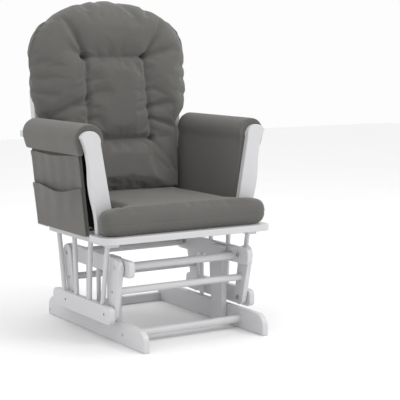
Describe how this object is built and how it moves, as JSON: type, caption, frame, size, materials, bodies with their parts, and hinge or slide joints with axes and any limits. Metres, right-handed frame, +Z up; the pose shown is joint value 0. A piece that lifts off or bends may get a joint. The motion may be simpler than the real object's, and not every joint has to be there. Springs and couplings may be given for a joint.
{
  "type": "glider nursery chair",
  "caption": "White wooden glider rocking chair on a four-bar swing base, with a grey T-shaped seat cushion, a tufted arched back cushion, padded roll arms and side pockets.",
  "frame": {"origin": "on the floor, under the middle of the whole chair's length and width", "axes": "+Z up; +X to the sitter's left hand; +Y to the back of the chair; the sitter faces -Y"},
  "size_m": [0.6456, 0.6572, 1.0082],
  "materials": {
    "wood": "satin white paint",
    "fabric": "grey microfibre over foam",
    "hardware": "satin zinc"
  },
  "bodies": {
    "base": {"base_screws": "hardware", "foot_left": "wood", "foot_right": "wood", "front_foot_dowel": "wood", "front_header_dowel": "wood", "front_upright_left": "wood", "front_upright_right": "wood", "header_left": "wood", "header_right": "wood", "rear_foot_board": "wood", "rear_header_dowel": "wood", "top_pivot_bolts": "hardware", "upright_rods": "wood"},
    "front_links": {"front_link_bushes": "hardware", "front_link_dowel": "wood", "front_link_left": "wood", "front_link_right": "wood", "front_link_screws": "hardware"},
    "rear_links": {"rear_link_bushes": "hardware", "rear_link_dowel": "wood", "rear_link_left": "wood", "rear_link_right": "wood", "rear_link_screws": "hardware"},
    "seat": {"arm_pad_left": "fabric", "arm_pad_right": "fabric", "arm_post_left": "wood", "arm_post_right": "wood", "arm_rail_left": "wood", "arm_rail_right": "wood", "back_cushion": "fabric", "back_slat_1": "wood", "back_slat_2": "wood", "back_slat_3": "wood", "back_stile_left": "wood", "back_stile_right": "wood", "bottom_pivot_bolts": "hardware", "crest_rail": "wood", "lower_back_rail": "wood", "lower_rail_left": "wood", "lower_rail_right": "wood", "pocket_panel_left": "fabric", "pocket_panel_right": "fabric", "pocket_patches": "fabric", "rear_seat_rail": "wood", "seat_board": "wood", "seat_cushion": "fabric", "seat_screws": "hardware", "seat_slat_1": "wood", "seat_slat_2": "wood", "seat_slat_3": "wood", "side_rail_left": "wood", "side_rail_right": "wood", "spindle_left_1": "wood", "spindle_left_2": "wood", "spindle_left_3": "wood", "spindle_left_4": "wood", "spindle_right_1": "wood", "spindle_right_2": "wood", "spindle_right_3": "wood", "spindle_right_4": "wood"}
  },
  "joints": [
    {"name": "glide", "type": "hinge", "parent": "base", "child": "front_links", "pos_m": [0, -0.1934, 0.226], "axis": [1, 0, 0], "range_deg": [-15, 15], "stiffness_Nm_per_rad": 24, "springref_deg": 145.86},
    {"name": "rear_links_swing", "type": "hinge", "parent": "base", "child": "rear_links", "pos_m": [0, 0.1192, 0.226], "axis": [1, 0, 0], "range_deg": [-15.2, 15.2]},
    {"name": "seat_swing", "type": "hinge", "parent": "front_links", "child": "seat", "pos_m": [0, -0.1635, 0.0874], "axis": [1, 0, 0], "range_deg": [-18.8, 18.8], "stiffness_Nm_per_rad": 20, "springref_deg": 157.57}
  ],
  "couplings": [
    {"joint": "rear_links_swing", "follows": "glide", "ratio": 1.0009},
    {"joint": "seat_swing", "follows": "glide", "ratio": -1.2319}
  ]
}
